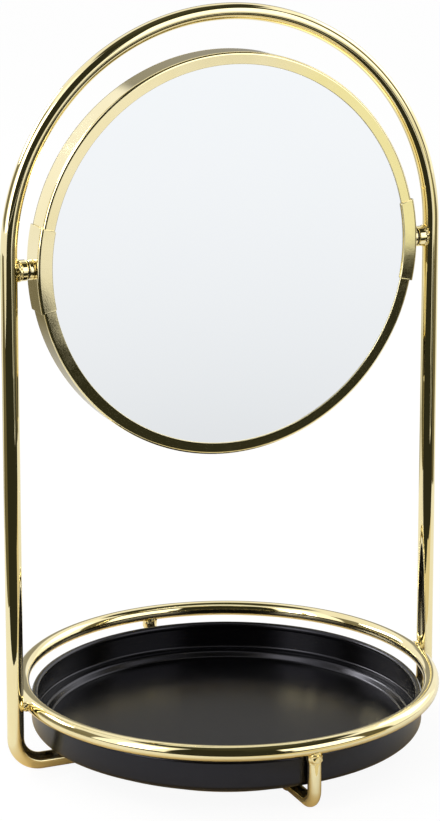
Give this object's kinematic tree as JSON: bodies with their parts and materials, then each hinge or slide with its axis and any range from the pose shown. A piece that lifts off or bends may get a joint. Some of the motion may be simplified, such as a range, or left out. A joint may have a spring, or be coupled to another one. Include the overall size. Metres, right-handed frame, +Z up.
{
  "type": "tilting vanity mirror with tray",
  "caption": "Round two-sided mirror tilting in an arched round-bar stand with a ring gallery over a lift-out round tray.",
  "frame": {"origin": "on the floor, on the upright axis of the rings and the tray, midway between the arch's legs", "axes": "+Z up; X along the arch, from its left leg to its right leg as seen from the front; the plane mirror faces -Y"},
  "size_m": [0.2264, 0.208, 0.3622],
  "materials": {
    "polished_gold": "polished gold-tone plating",
    "black_coat": "satin black powder coat",
    "mirror_glass": "silvered mirror glass",
    "bare_steel": "bright zinc-plated steel",
    "bush_nylon": "natural nylon",
    "backing_board": "grey board"
  },
  "bodies": {
    "stand": {"arch_bar": "polished_gold", "gallery_ring": "polished_gold", "base_ring": "polished_gold", "front_leg": "polished_gold", "rear_leg": "polished_gold", "leg_weld_front": "polished_gold", "leg_weld_rear": "polished_gold", "base_weld_front": "polished_gold", "base_weld_rear": "polished_gold", "base_weld_left": "polished_gold", "base_weld_right": "polished_gold", "ring_weld_left": "polished_gold", "ring_weld_right": "polished_gold", "pivot_barrel_left": "polished_gold", "pivot_barrel_right": "polished_gold", "barrel_weld_left": "polished_gold", "barrel_weld_right": "polished_gold", "friction_bush_left": "bush_nylon", "friction_bush_right": "bush_nylon", "spring_washer_left": "bare_steel", "spring_washer_right": "bare_steel"},
    "mirror": {"front_bezel": "polished_gold", "rear_bezel": "polished_gold", "front_glass": "mirror_glass", "magnifying_glass": "mirror_glass", "backing_pad": "backing_board", "clip_left": "polished_gold", "clip_right": "polished_gold", "pivot_collar_left": "polished_gold", "pivot_collar_right": "polished_gold", "pivot_pin_left": "bare_steel", "pivot_pin_right": "bare_steel", "pin_nut_left": "bare_steel", "pin_nut_right": "bare_steel"},
    "tray": {"tray": "black_coat"}
  },
  "joints": [
    {"name": "mirror_tilt", "type": "hinge", "parent": "stand", "child": "mirror", "pos_m": [0, 0, 0.243], "axis": [1, 0, 0], "continuous": true},
    {"name": "tray_lift", "type": "slide", "parent": "stand", "child": "tray", "axis": [0, 0, 1], "range_m": [0, 0.1]}
  ]
}
